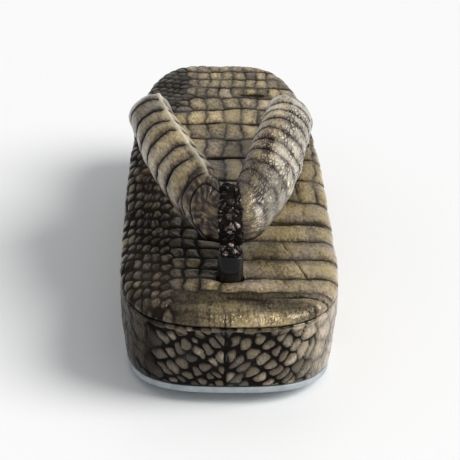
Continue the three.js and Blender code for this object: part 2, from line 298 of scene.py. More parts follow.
class Strap:
    """Frames along the strap, in millimetres, from the hole on -X through the V to that on +X."""

    TOP_SHARE = 0.55
    ROUNDNESS = 2.2
    IN_PLATFORM = 3
    TAIL_LEAN = 7

    def __init__(self, settings, sole):
        sizes = settings.strap
        for name in sizes.__annotations__:
            setattr(self, name, getattr(sizes, name) / MM)
        self.sole = sole
        self.thong_y = sole.toe_y + self.thong_from_toe
        self.hole_y = self.thong_y + self.reach
        inner, outer = self.edge(0), self.edge(self.width)
        self.knots = {"inner": inner, "outer": outer}
        shares = [row[6] for row in STRAP_SECTIONS]
        shares.append(shares[-1])
        self.thick_shares = np.array(shares[:0:-1] + shares)
        fine = np.linspace(0, 1, 3001)
        middle = self.middle(fine)
        steps = np.linalg.norm(np.diff(middle, axis=0), axis=1)
        self.fine = fine
        self.arc = np.concatenate([[0], np.cumsum(steps)])
        self.arc -= np.interp(0.5, fine, self.arc)

    def edge(self, off):
        """Knots of an edge line: the inner edge at off 0, the outer at the strap's width."""
        branches = []
        for side in (-1, 1):
            rows = []
            for out, along, up, aside, ahead, drop, _ in STRAP_SECTIONS:
                y = self.thong_y + self.reach * along
                z = self.sole.footbed_top(min(y, self.hole_y)) + self.rise * up
                x = side * (self.hole_spread * out + off * aside)
                rows.append([x, y - off * ahead, z - off * drop])
            end = rows[-1][:2] + [self.sole.top(self.hole_y) - self.IN_PLATFORM]
            rows = np.array(rows)
            along = rising(rows[:, 1], self.thong_y, self.reach)
            up = clamp((rows[:, 2] - self.sole.footbed_top(rows[:, 1])) / self.rise)
            rows[:, 0] -= self.lean * up * smooth(along)
            branches.append(np.vstack([rows, end]))
        return np.vstack([branches[0][:0:-1], branches[1]])

    def middle(self, t):
        return (curve_through(self.knots["inner"], t) + curve_through(self.knots["outer"], t)) / 2

    def frames(self, t):
        inner = curve_through(self.knots["inner"], t)
        outer = curve_through(self.knots["outer"], t)
        half = (inner - outer) / 2
        travel = unit(self.middle(t + 0.01) - self.middle(t - 0.01))
        inwards = unit(half)
        place = clamp(t) * (len(self.thick_shares) - 1)
        thick = np.interp(place, np.arange(len(self.thick_shares)), self.thick_shares)
        return {
            "centre": (inner + outer) / 2,
            "travel": travel,
            "inwards": inwards,
            "up": unit(np.cross(travel, inwards)),
            "reach": np.linalg.norm(half, axis=1),
            "thickness": thick * self.thickness,
        }

    def at_arc(self, arc):
        return np.interp(arc, self.arc, self.fine)

    def surface(self, t, around, grow):
        """Points on the strap's skin. Round it, 0 is underneath, 0.5 is on top."""
        frames = self.frames(t)
        turn = 2 * np.pi * (around - 0.25)
        power = 2 / self.ROUNDNESS
        c, s = np.cos(turn), np.sin(turn)
        above = frames["thickness"] * self.TOP_SHARE + grow
        below = frames["thickness"] * (1 - self.TOP_SHARE) + grow
        along = squarish(c, power) * (frames["reach"] + grow)
        rise = squarish(s, power) * np.where(s > 0, above, below)
        past_end = np.sign(t - 0.5) * grow * (abs(t - 0.5) > 0.4999)
        moves = (("travel", past_end), ("inwards", along), ("up", rise))
        return frames["centre"] + sum(frames[way] * far[:, None] for way, far in moves)

    def tail_path(self, at):
        """The thong's tail in the middle plane, from inside the sole up to the loop."""
        neck = self.frames(np.array([0.5]))
        floor = self.sole.footbed_top(self.thong_y)
        end = neck["centre"][0] + neck["inwards"][0] * (2 - neck["reach"][0])
        knots = [
            (0, self.thong_y, self.sole.top(self.thong_y) - self.IN_PLATFORM),
            (0, self.thong_y, floor - self.sole.footbed_thickness / 2),
            (0, self.thong_y + self.TAIL_LEAN * 0.1, floor + self.sleeve_rise * 0.4),
            (0, self.thong_y + self.TAIL_LEAN * 0.45, floor + self.sleeve_rise),
            tuple(end),
        ]
        return curve_through(knots, at)


def unit(vectors):
    return vectors / np.linalg.norm(vectors, axis=-1, keepdims=True)


# Meshes


def bent_grid(name, columns, rows, place):
    """A closed shell from one grid: place bends it, and it is sewn where its edges meet.
    The mesh keeps how far round and how far along each point lies."""
    bm = bmesh.new()
    bmesh.ops.create_grid(bm, x_segments=columns, y_segments=rows, size=0.5)
    grid = np.array([v.co[:2] for v in bm.verts]) + 0.5
    around = bm.verts.layers.float.new("around")
    along = bm.verts.layers.float.new("along")
    points = place(grid[:, 0], grid[:, 1]) * MM
    for vert, point, (u, v) in zip(bm.verts, points.tolist(), grid.tolist()):
        vert.co = point
        vert[around] = u
        vert[along] = v
    bmesh.ops.remove_doubles(bm, verts=bm.verts, dist=2e-6)
    bmesh.ops.recalc_face_normals(bm, faces=bm.faces)
    mesh = bpy.data.meshes.new(name)
    bm.to_mesh(mesh)
    bm.free()
    mesh.shade_smooth()
    piece = bpy.data.objects.new(name, mesh)
    bpy.context.scene.collection.objects.link(piece)
    return piece


def read(piece, kind):
    """Positions or normals in millimetres, or a value kept on each point."""
    mesh = piece.data
    count = len(mesh.vertices)
    if kind in ("co", "normal"):
        values = np.empty(count * 3, np.float32)
        mesh.vertices.foreach_get(kind, values)
        return values.reshape(-1, 3).astype(float) / (MM if kind == "co" else 1)
    values = np.empty(count, np.float32)
    mesh.attributes[kind].data.foreach_get("value", values)
    return values.astype(float)


def keep_values(piece, **fields):
    """Keeps values on the mesh's points, for the material."""
    for name, values in fields.items():
        layer = piece.data.attributes.get(name)
        layer = layer or piece.data.attributes.new(name, "FLOAT", "POINT")
        layer.data.foreach_set("value", np.asarray(values, np.float32))


def raise_skin(piece, height):
    """Moves each point along its normal by a height in millimetres."""
    points = read(piece, "co") + read(piece, "normal") * height[:, None]
    piece.data.vertices.foreach_set("co", (points * MM).astype(np.float32).ravel())
    piece.data.update()


def combine(piece, other, operation):
    """Cuts the other shell out of the piece, or joins it on, and keeps the piece's values."""
    fields = [a.name for a in piece.data.attributes if a.data_type == "FLOAT" and a.domain == "POINT"]
    sources = [piece] + ([other] if operation == "UNION" else [])
    finder = kdtree.KDTree(sum(len(s.data.vertices) for s in sources))
    values = {name: np.concatenate([read(s, name) for s in sources]) for name in fields}
    known = np.concatenate([read(s, "co") for s in sources]) * MM
    for i, point in enumerate(known.tolist()):
        finder.insert(point, i)
    finder.balance()
    step = piece.modifiers.new("Combine", "BOOLEAN")
    step.object = other
    step.operation = operation
    step.solver = "MANIFOLD"
    combined = piece.evaluated_get(bpy.context.evaluated_depsgraph_get())
    mesh = bpy.data.meshes.new_from_object(combined)
    if len(mesh.polygons) < 100:
        raise RuntimeError(f"{piece.name} was lost while it was combined with {other.name}")
    piece.modifiers.clear()
    old = piece.data
    piece.data = mesh
    bpy.data.meshes.remove(old)
    nearest = np.array([finder.find(v.co)[1] for v in mesh.vertices])
    keep_values(piece, **{name: kept[nearest] for name, kept in values.items()})
    bpy.data.objects.remove(other)
    mesh.shade_smooth()


def finish_piece(piece, material, *, replaces):
    """Last steps for a piece: its material, its body and the solid that it stands for."""
    for name in ("around", "along"):
        layer = piece.data.attributes.get(name)
        if layer:
            piece.data.attributes.remove(layer)
    piece.data.materials.clear()
    piece.data.materials.append(material)
    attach(piece, "root")
    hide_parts(replaces)


# Scale patterns


def drift(points, size_mm, seed):
    """A smooth wandering value from about -1 to 1 over the points."""
    rng = np.random.default_rng(seed)
    total = np.zeros(len(points))
    for _ in range(7):
        direction = unit(rng.normal(size=points.shape[1]))
        pitch = 2 * np.pi / (size_mm * rng.uniform(0.6, 1.7))
        total += np.sin(points @ direction * pitch + rng.uniform(0, 2 * np.pi))
    return total / 2.6


def wander(points, size_mm, reach, seed):
    """The points, each moved a little, so that straight borders wander."""
    moves = [drift(points, size_mm, seed + k) for k in range(points.shape[1])]
    return points + reach * np.stack(moves, 1)


class Scales:
    """Middles of scales, laid patch by patch, with how each patch's borders look."""

    def __init__(self, seed):
        self.rng = np.random.default_rng(seed)
        self.rows = []

    def lay(
        self, places, *, wobble=0.5, cross=1, split=1, width=0.9, gold=0.5, light=0.5, full=1,
        tint=0, oval=0, lean=0, long=1,
    ):
        """One scale at each place. Cross and split are the strengths of the borders that run across
        and lengthwise, width is theirs. Gold, full and tint are the look of the tops; light is painted
        light and shade on them. Oval rounds the corners off; long draws a scale out, at a lean in degrees."""
        turn = math.radians(lean)
        vary = 0.24 * (cross + split) / 2
        for x, y in places:
            sx, sy = self.rng.normal(0, wobble, 2)
            shade = (gold + self.rng.normal(0, vary), light * (1 + self.rng.normal(0, 1.2 * vary)))
            self.rows.append((x + sx, y + sy, turn, long, cross, split, width, oval, *shade, full, tint))

    def tile(self, columns, rows, **look):
        """Straight rows and columns of scales."""
        self.lay([(x, y) for y in rows for x in columns], **look)

    def fill(self, box, step, *, lean=0, **look):
        """Staggered rows over a box, turned by the lean. A step is across it, then along it."""
        left, right, low, high = box
        turn = math.radians(lean)
        across = step[0] * np.array((math.cos(turn), -math.sin(turn)))
        along = step[1] * np.array((math.sin(turn), math.cos(turn)))
        middle = np.array((left + right, low + high)) / 2
        reach = math.hypot(right - left, high - low) / 2
        far, high_row = (int(reach / one) + 1 for one in step)
        places = [
            middle + across * (i + 0.5 * (j % 2)) + along * j
            for j in range(-high_row, high_row + 1)
            for i in range(-far, far + 1)
        ]
        inside = [(x, y) for x, y in places if left < x < right and low < y < high]
        self.lay(inside, lean=lean, **look)

    def field(self, points, period=None):
        """Strength of the border line, way to the border, and the own scale's look and painted light."""
        table = np.array(self.rows)
        if period:
            turns = [table + np.eye(table.shape[1])[1] * period * k for k in (-1, 0, 1)]
            table = np.vstack(turns)
        middles, turn, long, looks = table[:, :2], table[:, 2], table[:, 3], table[:, 4:]
        axis = np.stack([np.sin(turn), np.cos(turn)], 1)
        parts = []
        for some in np.array_split(points, max(1, len(points) // 4000)):
            ways = some[:, None] - middles[None]
            drawn = ways[:, :, 0] * axis[:, 0] + ways[:, :, 1] * axis[:, 1]
            beside = ways[:, :, 0] * axis[:, 1] - ways[:, :, 1] * axis[:, 0]
            apart = drawn**2 / long + beside**2 * long
            near = np.argpartition(apart, 7, axis=1)[:, :8]
            far = np.take_along_axis(apart, near, 1)
            order = np.argsort(far, axis=1)
            near = np.take_along_axis(near, order, 1)
            far = np.take_along_axis(far, order, 1)
            own, others = near[:, :1], near[:, 1:]
            ways = middles[others] - middles[own]
            between = np.linalg.norm(ways, axis=2) + 1e-6
            gap = (far[:, 1:] - far[:, :1]) / (2 * between)
            lengthways = (ways[:, :, 1] / between) ** 2
            pair = (looks[own] + looks[others]) / 2
            strength = pair[:, :, 1] + (pair[:, :, 0] - pair[:, :, 1]) * lengthways
            line = (strength * bell(gap, 0, pair[:, :, 2])).max(1)
            border = -np.log((strength**2 * np.exp(-1.6 * gap)).sum(1) + 1e-9) / 1.6
            border = np.clip(border, 0, 9)
            mine = looks[own[:, 0]]
            soft = bell(border, 0, mine[:, 2]) * (mine[:, 0] + mine[:, 1]) / 2
            line = line + (np.maximum(line, soft) - line) * mine[:, 3]
            parts.append(np.column_stack([line, border, mine[:, 4:]]))
        names = ("line", "border", "gold", "light", "full", "tint")
        found = dict(zip(names, np.vstack(parts).T))
        found["line"] = found["line"] * (0.84 + 0.26 * drift(points, 13, 71))
        return found


def near_lines(points, lines):
    """How close the points lie to listed lines: each has a start, a stop, its strength and
    its half width in millimetres."""
    total = np.zeros(len(points))
    for start, stop, strength, width in lines:
        start, way = np.array(start, float), np.subtract(stop, start)
        t = clamp((points - start) @ way / (way @ way))
        off = np.linalg.norm(points - start - t[:, None] * way, axis=1)
        fade = 1 - 0.5 * (2 * t - 1) ** 4
        total = np.maximum(total, fade * strength * bell(off, 0, width))
    return total


def rise_of(found):
    """How far up from its border to its top a point on a scale lies, from 0 to 1."""
    return 1 - np.exp(-found["border"] / 2.6)


def skin_height(look, found):
    """Relief of scaled leather in millimetres: pillowed tops and sunken borders."""
    top = look.scale_height / MM * found["full"] * rise_of(found)
    return top - look.groove_depth / MM * found["line"]


def keep_skin(piece, found):
    """Keeps what the leather's material reads on the piece's points."""
    keep_values(
        piece, groove=found["line"], rise=rise_of(found), gold=found["gold"],
        light=found["light"], tint=found["tint"], crease=found["crease"],
    )


def away_from(points, others):
    """Way from each point to the nearest of the others."""
    nearest = np.full(len(points), 1e9)
    for some in np.array_split(others, max(1, len(others) // 40)):
        apart = np.linalg.norm(points[:, None] - some[None], axis=2).min(1)
        nearest = np.minimum(nearest, apart)
    return nearest


# Lines laid one by one on the footbed, seen from above: start, stop, strength, half width
BELLY_LINES = (
    ((22, -53), (27, -71), 0.6, 0.6),
    ((27, -71), (33, -90), 0.8, 0.6),
    ((12, -40), (45, -39), 0.7, 1.7),
    ((-2, -104), (14, -106), 0.7, 2.2),
    ((14, -104.5), (40, -103), 0.7, 1.0),
    ((15, 36.5), (24, 37), 1.1, 1.4),
    ((8, 82), (20, 81), 1.0, 1.9),
    ((-14, 20), (10, 19.5), 1.0, 1.2),
)

# Creases of the wrap, listed one by one on the wall laid flat: way from the toe, and height
WALL_LINES = (
    ((-47, 11.5), (-34, 11), 0.9, 0.7),
    ((-52, 31), (-40, 22), 0.5, 0.6),
    ((-60, 16), (-52, 27), 0.45, 0.6),
    ((-40, 29), (-34, 16), 0.5, 0.6),
    ((-70, 12), (-62, 30), 0.4, 0.6),
    ((40, 9), (47, 24), 0.45, 0.6),
    ((46, 12), (56, 33), 0.45, 0.6),
    ((60, 10), (68, 28), 0.4, 0.6),
    ((86, 14), (93, 34), 0.35, 0.6),
)

# Painted light and shade on the wall, darkest on -X and brightest on +X: way from the toe along the
# outline, brightness
WALL_LIGHT = (
    (-150, 0.6), (-80, 0.28), (-42, 0.16), (-34, 0.22), (-24, 0.75),
    (0, 0.85), (24, 1.1), (34, 1.1), (60, 1.0), (150, 0.6),
)


def belly_scales():
    """The footbed's skin: belly tiles, flank scales on -X, a calm band in front of the thong."""
    scales = Scales(11)
    belly = {"cross": 0.85, "split": 0.55, "wobble": 0.35, "width": 0.8, "gold": 0.64, "light": 1.05}
    scales.tile(np.arange(-20, 46, 8), (-10, 10, 28.5, 44.5, 58.5, 72), **belly)
    belly.update(split=0.45, cross=0.7, width=0.75, gold=0.54, light=1.08)
    scales.tile(np.arange(-14.5, 44, 5.6), (84.5, 94.5, 104, 112.5, 120), **belly)
    belly.update(split=0.05, gold=0.56, light=0.9, cross=0.75)
    scales.tile((2, 15, 26, 40, 52), (-29, -46.5, -62.5, -79, -95), **belly)
    # The low light values beside the thong, on the -X flank and on the heel's -X side are painted shade
    near_thong = (-20, -29, -38, -47.5, -56.5, -65, -74, -83.5, -92)
    scales.tile(
        (-22.5, -16, -9), near_thong, wobble=0.4, cross=0.95, split=1, width=0.8, gold=0.5,
        light=0.6, oval=0.3,
    )
    scales.fill(
        (-50, -25.5, -124, 64), (3.7, 7.4), lean=14, long=2.2, wobble=0.45, width=0.5,
        gold=0.55, light=0.5, full=1.9, oval=1,
    )
    scales.fill(
        (-46, -18, 66, 122), (3.5, 4.6), lean=18, long=1.2, wobble=0.4,
        cross=0.8, split=0.8, width=0.35, gold=0.4, light=0.5, full=1, tint=0.8, oval=0.8,
    )
    scales.tile(
        (-20, -9, 2, 15, 26, 40, 52), (-103.5, -112, -120), cross=0.1, split=0.05, wobble=0.3,
        gold=0.28, light=0.25, full=0.5,
    )
    return scales


def wall_scales():
    """The wall's skin, laid out flat: way along the outline from the toe, and height."""
    scales = Scales(23)
    cells = {"wobble": 0.6, "width": 0.4, "full": 3.2, "oval": 1, "light": 1.1}
    scales.fill(
        (-31, SEAM, 1, 44), (3.9, 5.8), lean=-38, long=1.4, gold=0.42, tint=0.5, **cells,
    )
    scales.fill(
        (SEAM, 25.2, 1, 44), (4.2, 6.6), lean=40, long=1.5, gold=0.48, tint=0.35, **cells,
    )
    scales.fill(
        (25.2, 34.5, 0, 48), (4.4, 8), lean=30, long=1.5, wobble=0.5, cross=0.8, split=0.85,
        width=0.38, gold=0.6, light=1, full=1.5, oval=1,
    )
    for side in (-1, 1):
        scales.tile(
            side * np.arange(40, 310, 13.5), np.arange(2, 54, 6.5), wobble=2.2, cross=0.25,
            split=0.25, width=0.7, gold=0.52, light=1, full=0.7,
        )
    return scales


def strap_scales():
    """The strap's skin: way along it from the V, negative on the -X arm, and way round it."""
    scales = Scales(37)
    rings = {"wobble": 0.4, "width": 0.65}
    # The light values are painted light: the -X arm and the V darker, as in shade, the +X arm lit
    scales.tile(
        -np.arange(26, 165, 11.2), np.arange(4, GIRTH, 14), cross=0.02, split=1.0, gold=0.57,
        light=0.8, **rings,
    )
    scales.fill(
        (-17, 0, 0, GIRTH), (3.5, 3.75), wobble=0.6, cross=0.25, split=0.25, width=0.6,
        gold=0.42, light=0.6, full=0.9, oval=0.5,
    )
    scales.tile(
        (6, 15, 24), np.arange(3, GIRTH, 9), cross=0.03, split=0.25, gold=0.45, light=0.5, **rings
    )
    scales.tile(
        np.arange(33, 165, 9.6), np.arange(4, GIRTH, 9), cross=0.04, split=0.62, gold=0.52,
        light=0.98, **rings,
    )
    return scales


# Materials


NUMBER, COLOUR, VECTOR = "NodeSocketFloat", "NodeSocketColor", "NodeSocketVector"


class Tree:
    """Adds nodes to a node tree and joins them."""

    def __init__(self, tree):
        self.tree = tree

    def add(self, kind, inputs=None, **settings):
        made = self.tree.nodes.new(kind)
        for key, value in settings.items():
            setattr(made, key, value)
        for key, value in (inputs or {}).items():
            self.set(made.inputs[key], value)
        return made

    def set(self, socket, value):
        if isinstance(value, bpy.types.NodeSocket):
            self.tree.links.new(value, socket)
        else:
            socket.default_value = value

    def math(self, operation, a, b=0.0):
        return self.add("ShaderNodeMath", {0: a, 1: b}, operation=operation).outputs[0]

    def blend(self, factor, a, b):
        made = self.add("ShaderNodeMix", {0: factor, 6: a, 7: b}, data_type="RGBA")
        return made.outputs[2]

    def ramp(self, value, low, high):
        """0 below low and 1 above high, smooth in between."""
        inputs = {"Value": value, "From Min": low, "From Max": high}
        made = self.add("ShaderNodeMapRange", inputs, interpolation_type="SMOOTHSTEP")
        return made.outputs["Result"]

    def value(self, name):
        return self.add("ShaderNodeAttribute", attribute_name=name).outputs["Fac"]

    def noise(self, place, scale, *, detail=2.0, rough=0.5, colour=False):
        inputs = {"Vector": place, "Scale": scale, "Detail": detail, "Roughness": rough}
        made = self.add("ShaderNodeTexNoise", inputs)
        return made.outputs["Color" if colour else "Fac"]

    def total(self, *terms):
        """The sum of values, each times its factor."""
        result = None
        for value, factor in terms:
            inputs = {0: value, 1: factor, 2: result or 0.0}
            result = self.add("ShaderNodeMath", inputs, operation="MULTIPLY_ADD").outputs[0]
        return result

    def group(self, group, **inputs):
        made = self.add("ShaderNodeGroup", node_tree=group)
        for key, value in inputs.items():
            self.set(made.inputs[key], value)
        return made.outputs


def rgba(three):
    return (*three, 1.0)


def new_group(name, inputs, outputs):
    """An empty node group with the named inputs and outputs, and its tree."""
    group = bpy.data.node_groups.new(name, "ShaderNodeTree")
    for way, sockets in (("INPUT", inputs), ("OUTPUT", outputs)):
        for label, kind in sockets.items():
            group.interface.new_socket(label, in_out=way, socket_type=kind)
    tree = Tree(group)
    return group, tree, tree.add("NodeGroupInput"), tree.add("NodeGroupOutput")


def pebble_group():
    """Fine pebbled creases of dried leather: dark lines, and a height for the bump."""
    name = "Leather pebble"
    if name in bpy.data.node_groups:
        return bpy.data.node_groups[name]
    inputs = {"Vector": VECTOR, "Size": NUMBER, "Width": NUMBER, "Even": NUMBER, "Amount": NUMBER}
    group, tree, start, end = new_group(name, inputs, {"Lines": NUMBER, "Height": NUMBER})
    place = start.outputs["Vector"]
    twist = tree.noise(place, 300.0, detail=2.0, colour=True)
    moved = tree.add(
        "ShaderNodeVectorMath", {0: twist, 1: (0.0014,) * 3, 2: place}, operation="MULTIPLY_ADD"
    ).outputs[0]
    cells = tree.add(
        "ShaderNodeTexVoronoi", {"Vector": moved, "Scale": start.outputs["Size"]},
        feature="DISTANCE_TO_EDGE",
    ).outputs["Distance"]
    top = tree.ramp(cells, 0.0, start.outputs["Width"])
    worn = tree.ramp(tree.noise(place, 190.0, detail=3.0), 0.36, 0.64)
    worn = tree.math("MAXIMUM", worn, start.outputs["Even"])
    worn = tree.math("MULTIPLY", worn, start.outputs["Amount"])
    lines = tree.math("MULTIPLY", tree.math("SUBTRACT", 1.0, top), worn)
    fine = tree.noise(place, 1700.0, detail=3.0)
    grain = tree.noise(place, 760.0, detail=3.0)
    height = tree.total((fine, 0.55), (grain, 1.1), (lines, -1.0))
    tree.set(end.inputs["Lines"], lines)
    tree.set(end.inputs["Height"], height)
    return group


def scale_group():
    """Colour, finish and painted light of a scale: dull to bright top, mottling, and stain that lies
    in the grooves. The Light value paints light and shade over it, and each scale is painted darker
    towards its border, as shade on its sloping sides.
    """
    name = "Scale finish"
    if name in bpy.data.node_groups:
        return bpy.data.node_groups[name]
    inputs = {"Vector": VECTOR}
    inputs.update(dict.fromkeys(("Bright", "Dull", "Stain", "Tinted"), COLOUR))
    values = ("Groove", "Rise", "Gold", "Light", "Lines", "Mottle", "Tint", "Coat")
    inputs.update(dict.fromkeys(values, NUMBER))
    outputs = {"Color": COLOUR, "Roughness": NUMBER, "Coat": NUMBER, "Metallic": NUMBER}
    group, tree, start, end = new_group(name, inputs, outputs)
    of = start.outputs
    broad = tree.noise(of["Vector"], 110.0, detail=5.0, rough=0.62)
    small = tree.noise(of["Vector"], 860.0, detail=5.0, rough=0.7)
    patina = tree.noise(of["Vector"], 34.0, detail=3.0)
    spots = tree.total((tree.math("SUBTRACT", broad, 0.5), 1.7), (tree.math("SUBTRACT", small, 0.5), 2.7))
    level = tree.total(
        (of["Gold"], 1.0), (spots, of["Mottle"]), (tree.math("SUBTRACT", of["Rise"], 0.62), 0.85),
        (of["Lines"], -0.45),
    )
    worn = tree.math("MULTIPLY", tree.ramp(tree.noise(of["Vector"], 70.0, detail=4.0), 0.48, 0.62), 0.5)
    bright = tree.blend(tree.math("MAXIMUM", of["Tint"], worn), of["Bright"], of["Tinted"])
    top = tree.blend(tree.ramp(level, 0.0, 1.0), of["Dull"], bright)
    # Painted shade: darker towards each scale's border, times the Light value's painted light and shade
    deep = tree.total((of["Rise"], 0.9), (0.4, 1.0))
    dim = tree.math("MULTIPLY", of["Light"], tree.total((patina, 1.2), (small, 1.0), (-0.1, 1.0)))
    dim = tree.math("MULTIPLY", dim, deep)
    lit = tree.add("ShaderNodeVectorMath", {0: top, "Scale": dim}, operation="SCALE").outputs[0]
    dirt = tree.total((of["Groove"], 1.0), (of["Lines"], 0.6), (tree.math("SUBTRACT", small, 0.5), 0.7))
    stain = tree.ramp(dirt, 0.14, 0.78)
    clean = tree.math("SUBTRACT", 1.0, stain)
    tree.set(end.inputs["Color"], tree.blend(stain, lit, of["Stain"]))
    tree.set(end.inputs["Roughness"], tree.total((stain, 0.4), (small, 0.3), (0.19, 1.0)))
    # The clear coat fades out under the painted shade
    shine = tree.math("MULTIPLY", tree.ramp(of["Light"], 0.1, 0.55), of["Coat"])
    tree.set(end.inputs["Coat"], tree.math("MULTIPLY", clean, shine))
    tree.set(end.inputs["Metallic"], tree.math("MULTIPLY", clean, 0.45))
    return group


def new_material(name):
    """A material with no nodes, and its tree."""
    material = bpy.data.materials.new(name)
    material.use_nodes = True
    material.node_tree.nodes.clear()
    return material, Tree(material.node_tree)


def put_skin(tree, inputs, bump):
    """Joins a surface and its bump to the material's output."""
    bumped = tree.add("ShaderNodeBump", bump).outputs["Normal"]
    skin = tree.add("ShaderNodeBsdfPrincipled", {**inputs, "Normal": bumped})
    tree.add("ShaderNodeOutputMaterial", {"Surface": skin.outputs["BSDF"]})


def scaled_leather(
    name, look, *, bright, dull, pebble, stain=None, tinted=None, mottle=0.5, stretch=(1, 1, 1),
    width=0.3, even=0.3, laid=False,
):
    """Leather for a piece whose points keep groove, rise, gold, light, tint and crease. Laid
    leather also keeps its own flat places, which the fine pattern then follows."""
    material, tree = new_material(name)
    if laid:
        flat = {"X": tree.value("laid_x"), "Y": tree.value("laid_y")}
        place = tree.add("ShaderNodeCombineXYZ", flat).outputs[0]
    else:
        place = tree.add("ShaderNodeTexCoord").outputs["Object"]
    drawn = tree.add("ShaderNodeMapping", {"Vector": place, "Scale": stretch}).outputs["Vector"]
    creased = tree.group(
        pebble_group(), Vector=drawn, Size=pebble, Width=width, Even=even, Amount=tree.value("crease")
    )
    kept = {key.title(): tree.value(key) for key in ("groove", "rise", "gold", "light", "tint")}
    finish = tree.group(
        scale_group(),
        Vector=drawn,
        Bright=rgba(bright),
        Dull=rgba(dull),
        Stain=rgba(stain or look.groove),
        Tinted=rgba(tinted or look.mauve),
        Lines=creased["Lines"],
        Mottle=mottle,
        Coat=look.coat,
        **kept,
    )
    inputs = {
        "Base Color": finish["Color"],
        "Roughness": finish["Roughness"],
        "Metallic": finish["Metallic"],
        "Specular IOR Level": 0.1,
        "Coat Weight": finish["Coat"],
        "Coat Roughness": 0.18,
    }
    put_skin(tree, inputs, {"Height": creased["Height"], "Distance": 0.0004, "Strength": 1.0})
    return material


def plain_finish(name, base, dark, *, roughness, grain, bump, coat=0.0, shine=0.5):
    """Smooth leather or rubber: one colour, worn and speckled a little."""
    material, tree = new_material(name)
    place = tree.add("ShaderNodeTexCoord").outputs["Object"]
    cloud = tree.noise(place, grain / 6, detail=5.0)
    speck = tree.noise(place, grain, detail=4.0)
    inputs = {
        "Base Color": tree.blend(tree.ramp(cloud, 0.35, 0.68), rgba(dark), rgba(base)),
        "Roughness": tree.total((speck, 0.3), (roughness - 0.15, 1.0)),
        "Specular IOR Level": shine,
        "Coat Weight": coat,
    }
    put_skin(tree, inputs, {"Height": speck, "Distance": bump, "Strength": 0.7})
    return material


# Pieces


def measures(context):
    """The leather's look, the sole and the strap, as the panel sets them."""
    settings = context.scene.zori
    sole = Sole(settings)
    return settings.leather, sole, Strap(settings, sole)


def strap_cutter(strap, grow):
    """The strap's plain tube, grown, to cut holes and clearances with."""
    return bent_grid("strap_cutter", 48, 160, lambda u, v: capped_tube(strap, u, v, grow))


def capped_tube(strap, u, v, grow, ends=0.004):
    """The strap's tube with both ends closed to a point on the middle line."""
    span = rising(v, ends, 1 - 2 * ends)
    t = strap.at_arc(strap.arc[0] + span * (strap.arc[-1] - strap.arc[0]))
    points = strap.surface(t, u, grow)
    middle = strap.surface(t, np.full_like(u, 0.25), grow) + strap.surface(t, np.full_like(u, 0.75), grow)
    closed = (v < ends / 2) | (v > 1 - ends / 2)
    return np.where(closed[:, None], middle / 2, points)


def tail_bar(strap, name, grow, columns, rows):
    """The thong's tail, grown, with both ends closed to a point."""

    def place(u, v):
        ends = 0.5 / rows
        span = rising(v, ends, 1 - 2 * ends)
        centre = strap.tail_path(span)
        travel = unit(strap.tail_path(span + 0.01) - strap.tail_path(span - 0.01))
        centre = centre - travel * (grow * (span < 0.002))[:, None]
        side = np.tile((1.0, 0.0, 0.0), (len(u), 1))
        up = np.cross(travel, side)
        turn = 2 * np.pi * u
        c, s = np.cos(turn), np.sin(turn)
        wide = squarish(c, 2 / 2.6) * (strap.tail_width / 2 + grow)
        deep = squarish(s, 2 / 2.6) * (strap.tail_depth / 2 + grow)
        closed = (v < ends) | (v > 1 - ends)
        return centre + (side * wide[:, None] + up * deep[:, None]) * ~closed[:, None]

    return bent_grid(name, columns, rows, place)


def runs(v, counts):
    """How far through each run of rows a place on the grid lies, from 0 to 1 for each run."""
    row = np.round(v * sum(counts))
    starts = np.cumsum((0, *counts[:-1]))
    return [rising(row, start, count) for start, count in zip(starts, counts)]


def cut_holes(piece, strap, tail_clearance):
    """Cuts the strap's and the thong's holes through a piece of the sole."""
    combine(piece, strap_cutter(strap, HOLE_CLEARANCE), "DIFFERENCE")
    combine(piece, tail_bar(strap, "tail_cutter", tail_clearance, 48, 40), "DIFFERENCE")


